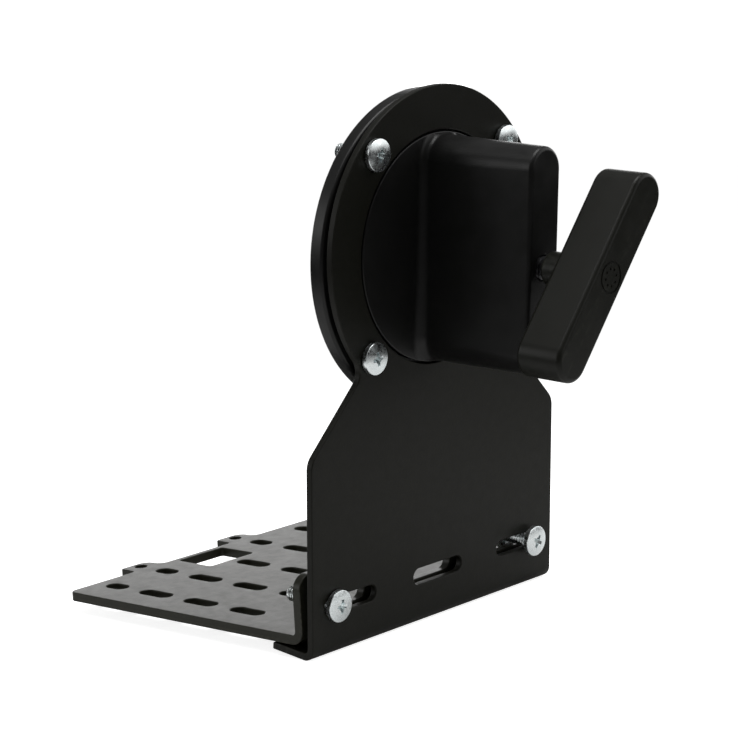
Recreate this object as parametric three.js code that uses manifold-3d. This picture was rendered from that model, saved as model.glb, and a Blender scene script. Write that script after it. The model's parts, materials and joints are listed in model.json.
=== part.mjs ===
// Bolted carrier bracket with a quick-release mount, in millimetres, +Z up.
// A slotted base bracket carries an upright plate whose round head holds a moulded mount.
// A pack with an oblong hole slips over the mount's post, and the T-handle on the post's end
// is turned across it and screwed down.
// While it is modelled, the frame's origin is the upright's front bottom corner: +X to the
// right, -Y the front (handle side), +Y the back (base plate side).
import * as THREE from "three";
import { mergeVertices } from "three/addons/utils/BufferGeometryUtils.js";
import Module from "manifold-3d";

const wasm = await Module();
wasm.setup();

// ---- driving dimensions, in mm ----
const GAP = 0.3; // clearance where separate pieces meet
const SEGMENTS = 20; // steps in a small full circle
const FINE_SEGMENTS = 64; // steps in a large full circle
const BEVEL_STEPS = 3; // steps in a rounded edge
const BEYOND = 1; // how far a cutter runs past the face it opens
const WIDTH = 152.4; // of both bent plates
const LEAN = THREE.MathUtils.degToRad(4); // the upright leans forward on its loose bolts

const BASE = {
  thickness: 4,
  top: 9.8, // height of the plate's upper face
  rear: 141.9,
  rearRadius: 3.2,
  flangeFront: 5,
  flangeTop: 34,
  flangeRadius: 6.5,
  bendInner: 1.8,
  slotWidth: 7.1,
  slotZ: 21, // of the flange's slots
  slotHeight: 7.3,
  columns: [-59.3, -29.8, 0, 29.8, 59.3],
  rows: [105.5, 78.6, 51.4], // slot centres along Y
  slotLength: 17.7,
  shortRow: 129.5,
  shortLength: 11.3,
  cutOut: { halfWidth: 13.5, front: 118.8, rear: 138.7, radius: 1.2 },
  earReach: 151,
  earHalfWidth: 8,
  earRadius: { left: 1.5, right: 5 },
  earFillet: { left: 1, right: 4 },
  earHole: { y: 146.2, radius: 2.75 },
};

const SLOT_ROW = { z: 20.5, middle: 15.3, inner: 38.6, outer: 69.2, height: 6.8 };

const UPRIGHT = {
  thickness: 3,
  bendInner: 1.8,
  lipReach: 21.5,
  lipRise: THREE.MathUtils.degToRad(4), // the lip is bent past square
  shoulder: 80.3, // height where the sides turn inwards
  shoulderRadius: 8,
  neckRadius: 7,
  headRadius: 64,
  headZ: 156.4,
  openingZ: 155.3,
  openingRadius: 47.1,
};

const MOUNT = {
  centreZ: 154.6,
  padRadius: 61,
  padFront: 3.3,
  discRadius: 64.2,
  discFront: 5.1,
  back: 11.9,
  rim: 1.4, // rounding of the disc's edge
  hubZ: 155.3,
  hubRadius: 46.3,
  hubFront: 0,
  hubRim: 0.4,
  turn: 1.3, // degrees that the mount is screwed on out of line
};

const POST = {
  centreZ: 155.1,
  width: 18.4,
  height: 89.6,
  rootWidth: 22.4, // it widens by its draft
  rootHeight: 91.4,
  end: -52.5,
  edge: 1.8,
  rootFillet: 3.8,
  endWall: 4,
};

const SCREW = {
  spacing: 39.9, // half of the square pattern
  radius: 3.175,
  clearance: 0.55,
  headRadius: 6.5,
  headHeight: 3.1,
  headSide: 1.9,
  length: 19.3,
  recess: 6.6, // span of the cross recess
  recessWidth: 1.5,
  recessDepth: 2.2,
};
const INSERT = { radius: 4.75, length: 6 };

const SLIDE_BOLT = {
  length: 25,
  left: { x: -62.5, underHead: -0.4 },
  right: { x: 60.2, underHead: -2.6 },
  nutFront: 11.3,
  nutAcross: 11.1,
  nutHeight: 5.6,
};

const HANDLE = {
  width: 18.4,
  length: 90.6,
  axisZ: 152.8,
  front: -84.4,
  back: -63.7,
  edge: 1.8,
  turn: THREE.MathUtils.degToRad(38.5),
  collarRadius: 7,
  collarFront: -56,
  studRadius: 4.7625,
  studEnd: -25.5,
  headAcross: 14.3,
  headHeight: 6,
  headFront: -79,
  stopRing: { front: -32.2, length: 5, radius: 7.1 },
};
const POST_INSERT = { radius: 7.2, length: 12 };

// ---- materials ----
function material(color, roughness, metalness) {
  return new THREE.MeshStandardMaterial({ color, roughness, metalness });
}
const BASE_PAINT = material(0x2e2c2f, 0.42, 0.2);
const UPRIGHT_PAINT = material(0x2b2c29, 0.55, 0.2);
const MOUNT_PLASTIC = material(0x151516, 0.38, 0);
const GRIP_PLASTIC = material(0x252725, 0.35, 0);
const ZINC = material(0xbfc3c6, 0.28, 0.95);
const BRASS = material(0xb08d4f, 0.35, 0.9);
const STUD_STEEL = material(0x6f7173, 0.4, 0.9);

// ---- helpers ----
// A closed geometry as a solid: shared corners merged, slivers on an axis dropped.
function solid(geometry) {
  const bare = geometry.clone();
  bare.deleteAttribute("normal");
  bare.deleteAttribute("uv");
  const merged = mergeVertices(bare, 1e-4);
  const corners = merged.index.array;
  const kept = [];
  for (let i = 0; i < corners.length; i += 3) {
    const [a, b, c] = [corners[i], corners[i + 1], corners[i + 2]];
    if (a !== b && b !== c && c !== a) kept.push(a, b, c);
  }
  return new wasm.Manifold(
    new wasm.Mesh({
      numProp: 3,
      vertProperties: new Float32Array(merged.attributes.position.array),
      triVerts: new Uint32Array(kept),
    }),
  );
}

// A solid back as flat-shaded geometry.
function geometryOf(made) {
  const mesh = made.getMesh();
  const geometry = new THREE.BufferGeometry();
  geometry.setAttribute("position", new THREE.BufferAttribute(mesh.vertProperties, 3));
  geometry.setIndex(new THREE.BufferAttribute(mesh.triVerts, 1));
  const flat = geometry.toNonIndexed();
  flat.computeVertexNormals();
  return flat;
}

function all(solids) {
  return solids.reduce((sum, next) => sum.add(next));
}

const X_AXIS = new THREE.Vector3(1, 0, 0);
const Y_AXIS = new THREE.Vector3(0, 1, 0);
const Z_AXIS = new THREE.Vector3(0, 0, 1);

// An outline in (Y, Z), run along X from x0 to x1.
function alongX(outline, x0, x1) {
  const geometry = extruded(outline, x1 - x0);
  geometry.applyMatrix4(new THREE.Matrix4().makeBasis(Y_AXIS, Z_AXIS, X_AXIS));
  return geometry.translate(x0, 0, 0);
}

// An outline in (X, Z), run along Y from y0 to y1, its ends rounded by edge.
function alongY(outline, y0, y1, edge = 0) {
  const geometry = extruded(outline, y1 - y0, edge);
  geometry.rotateX(Math.PI / 2);
  return geometry.translate(0, y1, 0);
}

// An outline in (X, Y), run along Z from z0 to z1.
function alongZ(outline, z0, z1) {
  return extruded(outline, z1 - z0).translate(0, 0, z0);
}

// An outline run along Z by depth; both ends are rounded by edge, within outline and depth.
function extruded(outline, depth, edge = 0) {
  const geometry = new THREE.ExtrudeGeometry(outline, {
    depth: depth - 2 * edge,
    curveSegments: SEGMENTS / 4,
    bevelEnabled: edge > 0,
    bevelSize: edge,
    bevelThickness: edge,
    bevelOffset: -edge,
    bevelSegments: BEVEL_STEPS,
  });
  return geometry.translate(0, 0, edge);
}

// A profile of [radius, y] corners turned about the Y axis.
function turned(profile, segments = SEGMENTS) {
  return new THREE.LatheGeometry(
    profile.map(([radius, y]) => new THREE.Vector2(radius, y)),
    segments,
  );
}

// A quarter round of radius r at the corner of a turned profile, from one edge to the next.
function roundedCorner(cornerRadius, cornerY, r, fromAngle, toAngle, steps = 4) {
  const centre = [cornerRadius - r, cornerY];
  return Array.from({ length: steps + 1 }, (_, i) => {
    const angle = fromAngle + ((toAngle - fromAngle) * i) / steps;
    return [centre[0] + r * Math.cos(angle), centre[1] + r * Math.sin(angle)];
  });
}

// A slot with half-round ends between two points of its centre line.
function slotShape([x0, y0], [x1, y1], width) {
  const r = width / 2;
  const along = Math.atan2(y1 - y0, x1 - x0);
  const shape = new THREE.Shape();
  shape.absarc(x1, y1, r, along - Math.PI / 2, along + Math.PI / 2, false);
  shape.absarc(x0, y0, r, along + Math.PI / 2, along + (3 * Math.PI) / 2, false);
  shape.closePath();
  return shape;
}

function circleShape(x, y, r) {
  const shape = new THREE.Shape();
  shape.absarc(x, y, r, 0, 2 * Math.PI, false);
  return shape;
}

function roundedRectangle(x0, y0, x1, y1, r) {
  const shape = new THREE.Shape();
  shape.absarc(x1 - r, y0 + r, r, -Math.PI / 2, 0, false);
  shape.absarc(x1 - r, y1 - r, r, 0, Math.PI / 2, false);
  shape.absarc(x0 + r, y1 - r, r, Math.PI / 2, Math.PI, false);
  shape.absarc(x0 + r, y0 + r, r, Math.PI, (3 * Math.PI) / 2, false);
  shape.closePath();
  return shape;
}

// The slots of the row that both plates share, as cutters through y0..y1 at height z.
function slotRow(height, z, y0, y1) {
  const inset = height / 2;
  const spans = [
    [-SLOT_ROW.outer + inset, -SLOT_ROW.inner - inset],
    [-SLOT_ROW.middle + inset, SLOT_ROW.middle - inset],
    [SLOT_ROW.inner + inset, SLOT_ROW.outer - inset],
  ];
  return all(spans.map(([x0, x1]) => solid(alongY(slotShape([x0, z], [x1, z], height), y0, y1))));
}

// A round bar about the Y axis, from y0 to y1.
function round(r, y0, y1, segments = SEGMENTS) {
  return solid(turned([[0, y0], [r, y0], [r, y1], [0, y1]], segments));
}

function hexagon(across) {
  const shape = new THREE.Shape();
  const r = across / Math.sqrt(3);
  for (let i = 0; i < 6; i++) {
    const angle = (Math.PI / 3) * i;
    shape[i ? "lineTo" : "moveTo"](r * Math.cos(angle), r * Math.sin(angle));
  }
  shape.closePath();
  return shape;
}

// A hex nut about the Y axis, its corners chamfered, its bore a clearance wider than the thread.
function nut(across, height, boreRadius) {
  const cornerRadius = across / Math.sqrt(3);
  const chamfer = 0.12 * across;
  const flank = across / 2 - 0.2;
  const envelope = turned([
    [0, 0],
    [flank, 0],
    [cornerRadius + 0.01, chamfer / 2],
    [cornerRadius + 0.01, height - chamfer / 2],
    [flank, height],
    [0, height],
  ]);
  return solid(alongY(hexagon(across), 0, height))
    .intersect(solid(envelope))
    .subtract(round(boreRadius, -BEYOND, height + BEYOND));
}

// A Phillips pan-head screw about the Y axis: head in -Y from the origin, shank in +Y.
function panScrew(length) {
  const { radius, headRadius: r, headHeight: h, headSide, recess, recessWidth, recessDepth } = SCREW;
  const body = turned([
    [0, -h],
    [0.45 * r, -h + 0.1],
    [0.75 * r, -h + 0.35],
    [0.92 * r, -h + 0.75],
    [r, -headSide],
    [r, 0],
    [radius, 0],
    [radius, length - 0.9],
    [radius - 0.8, length],
    [0, length],
  ], 24);
  const bar = new THREE.BoxGeometry(recess, 2 * recessDepth, recessWidth).translate(0, -h, 0);
  const cross = solid(bar).add(solid(bar.clone().rotateY(Math.PI / 2)));
  return solid(body).subtract(cross);
}

// ---- sub-parts ----
// An L section in (Y, Z): a level leg at z0..z0+t that starts at y0, and a rising leg.
function bentSection(y0, z0, t, innerRadius, legEnd, legRise, top) {
  const outer = innerRadius + t;
  const swing = Math.PI / 2 + legRise;
  const [cy, cz] = [y0 + outer, z0 + outer];
  const along = [Math.cos(legRise), Math.sin(legRise)];
  const foot = (r) => [cy + r * along[1], cz - r * along[0]];
  const reach = (point) => (legEnd - point[0]) / along[0];
  const out = ([y, z], d) => [y + d * along[0], z + d * along[1]];
  const shape = new THREE.Shape();
  shape.moveTo(y0, top);
  shape.absarc(cy, cz, outer, Math.PI, Math.PI + swing, false);
  shape.lineTo(...out(foot(outer), reach(foot(outer))));
  shape.lineTo(...out(foot(innerRadius), reach(foot(outer))));
  shape.absarc(cy, cz, innerRadius, Math.PI + swing, Math.PI, true);
  shape.lineTo(y0 + t, top);
  shape.closePath();
  return shape;
}

// The base plate seen from above, with its two rear ears.
function basePlan() {
  const { rear, rearRadius, earReach, earHalfWidth, earRadius, earFillet } = BASE;
  const half = WIDTH / 2;
  const shape = new THREE.Shape();
  shape.moveTo(-half, 0);
  shape.lineTo(half, 0);
  shape.absarc(half - rearRadius, rear - rearRadius, rearRadius, 0, Math.PI / 2, false);
  for (const x of [BASE.columns[3], BASE.columns[1]]) {
    const right = x + earHalfWidth;
    const left = x - earHalfWidth;
    const [r0, r1] = [earRadius.left, earRadius.right];
    const [f0, f1] = [earFillet.left, earFillet.right];
    shape.absarc(right + f1, rear + f1, f1, -Math.PI / 2, -Math.PI, true);
    shape.absarc(right - r1, earReach - r1, r1, 0, Math.PI / 2, false);
    shape.absarc(left + r0, earReach - r0, r0, Math.PI / 2, Math.PI, false);
    shape.absarc(left - f0, rear + f0, f0, 0, -Math.PI / 2, true);
  }
  shape.absarc(-half + rearRadius, rear - rearRadius, rearRadius, Math.PI / 2, Math.PI, false);
  shape.closePath();
  return shape;
}

function baseSlots() {
  const long = BASE.rows.map((y) => [y, BASE.slotLength]);
  const short = [[BASE.shortRow, BASE.shortLength]];
  const cutters = [];
  for (const x of BASE.columns) {
    const rows = x === 0 ? long : short.concat(long);
    for (const [y, length] of rows) {
      const reach = (length - BASE.slotWidth) / 2;
      const shape = slotShape([x, y - reach], [x, y + reach], BASE.slotWidth);
      cutters.push(solid(alongZ(shape, 0, BASE.top + BEYOND)));
    }
  }
  return all(cutters);
}

function baseBracket() {
  const underside = BASE.top - BASE.thickness;
  const section = bentSection(
    BASE.flangeFront, underside, BASE.thickness, BASE.bendInner, BASE.earReach + BEYOND, 0, BASE.flangeTop,
  );
  const half = WIDTH / 2;
  const front = roundedRectangle(
    -half, underside - 2 * BASE.flangeRadius, half, BASE.flangeTop, BASE.flangeRadius,
  );
  const { halfWidth, front: cutFront, rear: cutRear, radius } = BASE.cutOut;
  const cutOut = roundedRectangle(-halfWidth, cutFront, halfWidth, cutRear, radius);
  const ears = [BASE.columns[1], BASE.columns[3]].map((x) =>
    solid(alongZ(circleShape(x, BASE.earHole.y, BASE.earHole.radius), 0, BASE.top + BEYOND)),
  );
  return solid(alongX(section, -half, half))
    .intersect(solid(alongZ(basePlan(), 0, BASE.flangeTop + BEYOND)))
    .intersect(solid(alongY(front, 0, BASE.earReach + BEYOND)))
    .subtract(baseSlots())
    .subtract(solid(alongZ(cutOut, 0, BASE.top + BEYOND)))
    .subtract(all(ears))
    .subtract(slotRow(BASE.slotHeight, BASE.slotZ, 0, BASE.flangeFront + BASE.thickness + BEYOND));
}

// The upright seen from the front, right half: straight side, rounded shoulder, an edge at 45
// degrees aimed at the head's centre, and a hollow fillet into the head's circle.
function uprightOutline() {
  const { shoulder, shoulderRadius: rs, neckRadius: rn, headRadius: R, headZ } = UPRIGHT;
  const half = WIDTH / 2;
  const slope = Math.PI / 4;
  const shoulderZ = shoulder - rs * Math.tan(slope / 2);
  const neckOffset = rn; // of the fillet's centre below the 45 degree edge
  const edgeOffset = (headZ - shoulder - half) * Math.cos(slope); // of that edge from the head's centre
  const across = edgeOffset - neckOffset;
  const alongEdge = Math.sqrt((R + rn) ** 2 - across ** 2);
  const neckX = Math.cos(slope) * alongEdge - Math.sin(slope) * across;
  const neckZ = headZ - Math.sin(slope) * alongEdge - Math.cos(slope) * across;
  const neckToHead = Math.atan2(headZ - neckZ, -neckX);
  const headFrom = Math.atan2(neckZ - headZ, neckX);
  const quarter = [
    [half - rs, shoulderZ, rs, 0, slope, false],
    [neckX, neckZ, rn, slope - Math.PI, neckToHead - 2 * Math.PI, true],
    [0, headZ, R, headFrom, Math.PI / 2, false],
  ];
  const shape = new THREE.Shape();
  shape.moveTo(0, -5);
  shape.lineTo(half, -5);
  for (const [x, z, r, from, to, clockwise] of quarter) shape.absarc(x, z, r, from, to, clockwise);
  for (const [x, z, r, from, to, clockwise] of quarter.reverse())
    shape.absarc(-x, z, r, Math.PI - to, Math.PI - from, clockwise);
  shape.lineTo(-half, -5);
  shape.closePath();
  return shape;
}

function uprightPlate() {
  const half = WIDTH / 2;
  const top = UPRIGHT.headZ + UPRIGHT.headRadius + BEYOND;
  const section = bentSection(
    0, 0, UPRIGHT.thickness, UPRIGHT.bendInner, UPRIGHT.lipReach, UPRIGHT.lipRise, top,
  );
  const opening = round(UPRIGHT.openingRadius, -BEYOND, UPRIGHT.thickness + BEYOND, FINE_SEGMENTS)
    .translate([0, 0, UPRIGHT.openingZ]);
  const holes = screwPlaces().map(([x, z]) =>
    round(SCREW.radius + SCREW.clearance, -BEYOND, UPRIGHT.thickness + BEYOND).translate([x, 0, z]),
  );
  return solid(alongX(section, -half, half))
    .intersect(solid(alongY(uprightOutline(), -1, UPRIGHT.lipReach + 5)))
    .subtract(opening)
    .subtract(all(holes))
    .subtract(slotRow(SLOT_ROW.height, SLOT_ROW.z, -BEYOND, UPRIGHT.thickness + BEYOND));
}

// The four screws stand in a square about the hub's middle, turned with the mount.
function screwPlaces() {
  const s = SCREW.spacing;
  const turn = THREE.MathUtils.degToRad(MOUNT.turn);
  return [[-s, s], [s, s], [-s, -s], [s, -s]].map(([x, z]) => [
    x * Math.cos(turn) + z * Math.sin(turn),
    MOUNT.hubZ + z * Math.cos(turn) - x * Math.sin(turn),
  ]);
}

// An upright oblong with half-round top and bottom, in (X, Z), about its middle.
function oblong(width, height) {
  const z = (height - width) / 2;
  return slotShape([0, -z], [0, z], width);
}

// The post narrows by its draft from the hub to its end, whose edge is rounded.
function taperedPost() {
  const { width, height, rootWidth, rootHeight, end, edge } = POST;
  const ring = (w, h, y) => oblong(w, h).getPoints(SEGMENTS / 4).map((p) => [p.x, y, p.y]);
  const points = [
    ...ring(rootWidth, rootHeight, MOUNT.padFront + 1),
    ...ring(rootWidth, rootHeight, MOUNT.hubFront),
  ];
  const steps = 3;
  for (let i = 0; i <= steps; i++) {
    const angle = (Math.PI / 2) * (i / steps);
    const inset = 2 * edge * (1 - Math.sin(angle));
    points.push(...ring(width - inset, height - inset, end + edge * (1 - Math.cos(angle))));
  }
  return wasm.Manifold.hull(points);
}

// The flare where the post meets the hub, as steps of a hollow quarter round.
function rootFlare() {
  const steps = 5;
  const r = POST.rootFillet;
  const slices = [];
  for (let i = 0; i < steps; i++) {
    const angle = (Math.PI / 2) * ((i + 0.5) / steps);
    const flare = 2 * r * (1 - Math.sin(angle));
    const rise = r * (1 - Math.cos((Math.PI / 2) * ((i + 1) / steps)));
    const outline = oblong(POST.rootWidth + flare, POST.rootHeight + flare);
    slices.push(solid(alongY(outline, MOUNT.hubFront - rise, MOUNT.hubFront + BEYOND)));
  }
  return all(slices);
}

// The moulded mount: a thin pad against the upright, a wider disc behind it, a hub through the
// upright's opening, and the post with the bores for its stud and insert.
function mountBody() {
  const { padRadius, padFront, discRadius, discFront, back, rim, hubRadius, hubFront, hubRim } = MOUNT;
  const hub = turned([
    [0, hubFront],
    ...roundedCorner(hubRadius, hubFront + hubRim, hubRim, -Math.PI / 2, 0, 3),
    [hubRadius, discFront],
    [0, discFront],
  ], FINE_SEGMENTS);
  const flange = turned([
    [0, padFront],
    [padRadius, padFront],
    [padRadius, discFront],
    ...roundedCorner(discRadius, discFront + rim, rim, -Math.PI / 2, 0, 3),
    ...roundedCorner(discRadius, back - rim, rim, 0, Math.PI / 2, 3),
    [0, back],
  ], FINE_SEGMENTS);
  const onHub = (made) => made.rotate([0, MOUNT.turn, 0]).translate([0, 0, POST.centreZ]);
  const withinHub = round(hubRadius - hubRim, POST.end, back, FINE_SEGMENTS)
    .translate([0, 0, MOUNT.hubZ]);
  const bore = POST_INSERT.radius + GAP;
  const studHole = HANDLE.studRadius + GAP;
  const studBore = round(bore, POST.end + POST.endWall, back + BEYOND)
    .add(round(studHole, POST.end - BEYOND, back));
  const screwBore = round(SCREW.radius + SCREW.clearance, hubFront, back + BEYOND)
    .add(round(INSERT.radius + GAP, back - INSERT.length - GAP, back + BEYOND));
  return solid(flange)
    .translate([0, 0, MOUNT.centreZ])
    .add(solid(hub).translate([0, 0, MOUNT.hubZ]))
    .add(onHub(taperedPost()))
    .add(onHub(rootFlare()).intersect(withinHub))
    .subtract(studBore.translate([0, 0, HANDLE.axisZ]))
    .subtract(all(screwPlaces().map(([x, z]) => screwBore.translate([x, 0, z]))));
}

// A round insert about the Y axis, chamfered at both ends.
function insert(radius, length, boreRadius) {
  const chamfer = 0.35;
  const profile = [
    [boreRadius, 0],
    [radius - chamfer, 0],
    [radius, chamfer],
    [radius, length - chamfer],
    [radius - chamfer, length],
    [boreRadius, length],
    [boreRadius, 0],
  ];
  return solid(turned(profile));
}

function handleGrip() {
  const { width, length, front, back, edge, studRadius, headAcross, headHeight, headFront } = HANDLE;
  const block = solid(alongY(oblong(width, length), front, back, edge));
  const headBack = headFront + headHeight;
  const pocket = alongY(hexagon(headAcross + 2 * GAP), headFront - GAP, headBack + GAP);
  return block.subtract(solid(pocket)).subtract(round(studRadius + GAP, headFront, back + BEYOND));
}

function handleStud() {
  const { studRadius: r, studEnd, headAcross, headHeight, headFront } = HANDLE;
  const chamfer = 1;
  const start = headFront + headHeight / 2;
  const end = studEnd - chamfer;
  const shank = turned([[0, start], [r, start], [r, end], [r - chamfer, studEnd], [0, studEnd]]);
  return solid(alongY(hexagon(headAcross), headFront, headFront + headHeight)).add(solid(shank));
}

function studCollar() {
  const { collarRadius: r, collarFront, back, studRadius } = HANDLE;
  const inner = studRadius + GAP;
  const profile = [
    [inner, back + GAP],
    [r, back + GAP],
    [r, collarFront - 0.6],
    [r - 0.6, collarFront],
    [inner, collarFront],
    [inner, back + GAP],
  ];
  return solid(turned(profile, 24));
}

// ---- assembly ----
function named(name, made, paint) {
  const mesh = new THREE.Mesh(geometryOf(made), paint);
  mesh.name = name;
  return mesh;
}

function placed(mesh, x, y, z) {
  mesh.position.set(x, y, z);
  return mesh;
}

// The two bolts that clamp the upright to the base's flange, with their nuts, loose and leaning.
function slideBoltGroup() {
  const group = new THREE.Group();
  for (const side of ["left", "right"]) {
    const { x, underHead } = SLIDE_BOLT[side];
    const bolt = named(`slide_bolt_${side}`, panScrew(SLIDE_BOLT.length), ZINC);
    group.add(placed(bolt, x, underHead, SLOT_ROW.z));
    const bored = nut(SLIDE_BOLT.nutAcross, SLIDE_BOLT.nutHeight, SCREW.radius + GAP);
    group.add(placed(named(`slide_nut_${side}`, bored, ZINC), x, SLIDE_BOLT.nutFront, SLOT_ROW.z));
  }
  return group;
}

// The upright plate, the mount and its screws and inserts, in the leaning frame.
function uprightGroup() {
  const group = new THREE.Group();
  group.add(named("upright_plate", uprightPlate(), UPRIGHT_PAINT));
  group.add(named("mount_body", mountBody(), MOUNT_PLASTIC));
  const bore = HANDLE.studRadius + GAP;
  const postInsert = named("post_insert", insert(POST_INSERT.radius, POST_INSERT.length, bore), BRASS);
  group.add(placed(postInsert, 0, POST.end + POST.endWall + GAP, HANDLE.axisZ));
  screwPlaces().forEach(([x, z], i) => {
    const screw = named(`mount_screw_${i + 1}`, panScrew(SCREW.length), ZINC);
    group.add(placed(screw, x, -GAP, z));
    const sunk = insert(INSERT.radius, INSERT.length, SCREW.radius + GAP);
    group.add(placed(named(`mount_insert_${i + 1}`, sunk, BRASS), x, MOUNT.back - INSERT.length, z));
  });
  return group;
}

// The handle, its stud, collar and stop ring, about the post's axis.
function handleGroup() {
  const group = new THREE.Group();
  const grip = named("handle_grip", handleGrip(), GRIP_PLASTIC);
  grip.rotation.y = HANDLE.turn;
  const stud = named("handle_stud", handleStud(), STUD_STEEL);
  stud.rotation.y = HANDLE.turn;
  const { front, length, radius } = HANDLE.stopRing;
  const stop = named("stud_stop_ring", insert(radius, length, HANDLE.studRadius + GAP), STUD_STEEL);
  group.add(grip, stud, named("stud_collar", studCollar(), GRIP_PLASTIC), placed(stop, 0, front, 0));
  group.position.z = HANDLE.axisZ;
  return group;
}

const leaning = new THREE.Group();
leaning.add(slideBoltGroup(), uprightGroup(), handleGroup());
leaning.rotation.x = LEAN;

const carrier = new THREE.Group();
carrier.add(named("base_bracket", baseBracket(), BASE_PAINT), leaning);

// The finished part's origin is the middle of its bounding box's bottom.
const box = new THREE.Box3().setFromObject(carrier, true);
const centre = box.getCenter(new THREE.Vector3());
carrier.position.set(-centre.x, -centre.y, -box.min.z);

export default carrier;
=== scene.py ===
import json
import math

import bmesh
import bpy
from mathutils import Matrix, Vector

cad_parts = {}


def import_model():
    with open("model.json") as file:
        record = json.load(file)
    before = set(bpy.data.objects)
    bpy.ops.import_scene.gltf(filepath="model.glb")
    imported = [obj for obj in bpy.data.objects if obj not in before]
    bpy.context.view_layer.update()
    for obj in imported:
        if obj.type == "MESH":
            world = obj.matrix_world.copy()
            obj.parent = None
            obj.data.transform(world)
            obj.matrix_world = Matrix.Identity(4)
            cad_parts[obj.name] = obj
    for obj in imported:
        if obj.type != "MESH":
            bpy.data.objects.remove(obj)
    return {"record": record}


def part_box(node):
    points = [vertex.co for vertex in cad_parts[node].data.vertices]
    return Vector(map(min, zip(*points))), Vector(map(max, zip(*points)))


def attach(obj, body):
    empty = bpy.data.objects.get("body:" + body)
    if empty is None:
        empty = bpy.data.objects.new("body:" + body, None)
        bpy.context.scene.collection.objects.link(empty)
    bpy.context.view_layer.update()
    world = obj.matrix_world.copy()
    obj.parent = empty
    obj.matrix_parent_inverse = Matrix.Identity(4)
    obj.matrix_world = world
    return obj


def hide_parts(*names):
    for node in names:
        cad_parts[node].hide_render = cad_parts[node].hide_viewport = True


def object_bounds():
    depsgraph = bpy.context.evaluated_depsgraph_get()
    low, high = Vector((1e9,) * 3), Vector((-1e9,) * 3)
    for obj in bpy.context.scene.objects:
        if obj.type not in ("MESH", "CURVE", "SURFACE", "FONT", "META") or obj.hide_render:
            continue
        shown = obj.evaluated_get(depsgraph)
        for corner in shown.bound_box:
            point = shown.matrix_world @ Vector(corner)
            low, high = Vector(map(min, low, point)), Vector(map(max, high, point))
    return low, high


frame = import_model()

cad_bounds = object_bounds()

# ---------------------------------------------------------------- driving dimensions, in mm
# Heights are in Z and depths in Y, from the origin of the working frames.
GAP = 0.3  # clearance where separate pieces meet
BEYOND = 1.0  # how far a cutter stands out of the surface it cuts
PLATE_EDGE = 0.45  # radius of the plates' edges
WIDTH = 152.4
HALF = WIDTH / 2

BASE_THICKNESS = 4.0
BASE_TOP = 9.8
BASE_REAR = 141.9
BASE_BEND = 1.8
FLANGE_FRONT = 5.0
FLANGE_TOP = 34.0
FLANGE_RADIUS = 6.5
FLANGE_SLOT = (21.0, 7.3)  # middle's height, slot's height
REAR_RADIUS = 3.2
EAR_REACH = 151.0
EAR_HALF = 8.0
EAR_RADII = (1.5, 5.0)  # left and right corner
EAR_FILLETS = (1.0, 4.0)  # left and right
EAR_HOLE = (146.2, 2.75)  # y, radius
COLUMNS = (-59.3, -29.8, 0.0, 29.8, 59.3)  # x of the base plate's slots
EAR_COLUMNS = (COLUMNS[3], COLUMNS[1])
SLOT_WIDTH = 7.1
LONG_ROWS = ((105.5, 17.7), (78.6, 17.7), (51.4, 17.7))  # y and length of each row's slots
SHORT_ROW = (129.5, 11.3)  # y, length
CUT_OUT = (13.5, 118.8, 138.7, 1.2)  # half width, front, back, corner radius

SLOT_Z = 20.5
SLOT_SPANS = ((-69.2, -38.6), (-15.3, 15.3), (38.6, 69.2))  # x of each bolt slot's ends
UPRIGHT_SLOT_HEIGHT = 6.8

UPRIGHT_THICKNESS = 3.0
UPRIGHT_BEND = 1.8
LIP_REACH = 21.5
LIP_RISE = math.radians(4)
SHOULDER = 80.3
SHOULDER_RADIUS = 8.0
NECK_RADIUS = 7.0
HEAD_RADIUS = 64.0
HEAD_Z = 156.4
OPENING = (155.3, 47.1)  # middle's height, radius

MOUNT_Z = 154.6
PAD = (61.0, 3.3)  # radius, y of its front
DISC_RADIUS = 64.2
DISC_FRONT = 5.1
MOUNT_BACK = 11.9
DISC_RIM = 1.4
HUB_Z = 155.3
HUB_RADIUS = 46.3
HUB_FRONT = 0.0
HUB_RIM = 0.4
MOUNT_TURN = math.radians(1.3)

POST_Z = 155.1
POST_TIP = (9.2, 44.8)  # half width and half height at the end
POST_ROOT = (11.2, 45.7)
POST_END = -52.5
POST_EDGE = 1.8
ROOT_FILLET = 3.8
ROOT_GROWTH = 0.17  # how much the fillet grows downwards
END_WALL = 4.0
AXIS_Z = 152.8

SCREW_SPACING = 39.9
SCREW_RADIUS = 3.175
SCREW_CLEARANCE = 0.55
SCREW_PITCH = 1.27
SCREW_THREAD_DEPTH = 0.6
NUT_THREAD_DEPTH = 0.28
SCREW_HEAD_RADIUS = 6.5
SCREW_HEAD_HEIGHT = 3.1
SCREW_HEAD_SIDE = 1.9  # height of the head's straight side
RECESS_ABOVE = (7.0, 1.55)  # the cross recess's span and width above the head
RECESS_BOTTOM = (3.4, 1.08)  # and at its bottom
RECESS_DEPTH = 2.3
RECESS_CORE = ((2.15, -BEYOND), (1.05, 2.6), (0.0, 2.9))  # its round middle, as (radius, depth)
MOUNT_SCREW_TURNS = (12, 52, -8, 35)  # degrees
MOUNT_SCREW_LENGTH = 19.3
SLIDE_BOLT_LENGTH = 25.0
SLIDE_UNDER_HEAD = {"left": -0.4, "right": -2.6}  # y under each bolt's head
SLIDE_BOLT_TURNS = {"left": 5, "right": 28}  # degrees
INSERT = (4.75, 6.0)  # radius, length
KNURLS = 24
KNURL_DEPTH = 0.22
NUT = (11.1, 5.6)  # across flats, height
NUT_FRONT = 11.3

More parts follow.
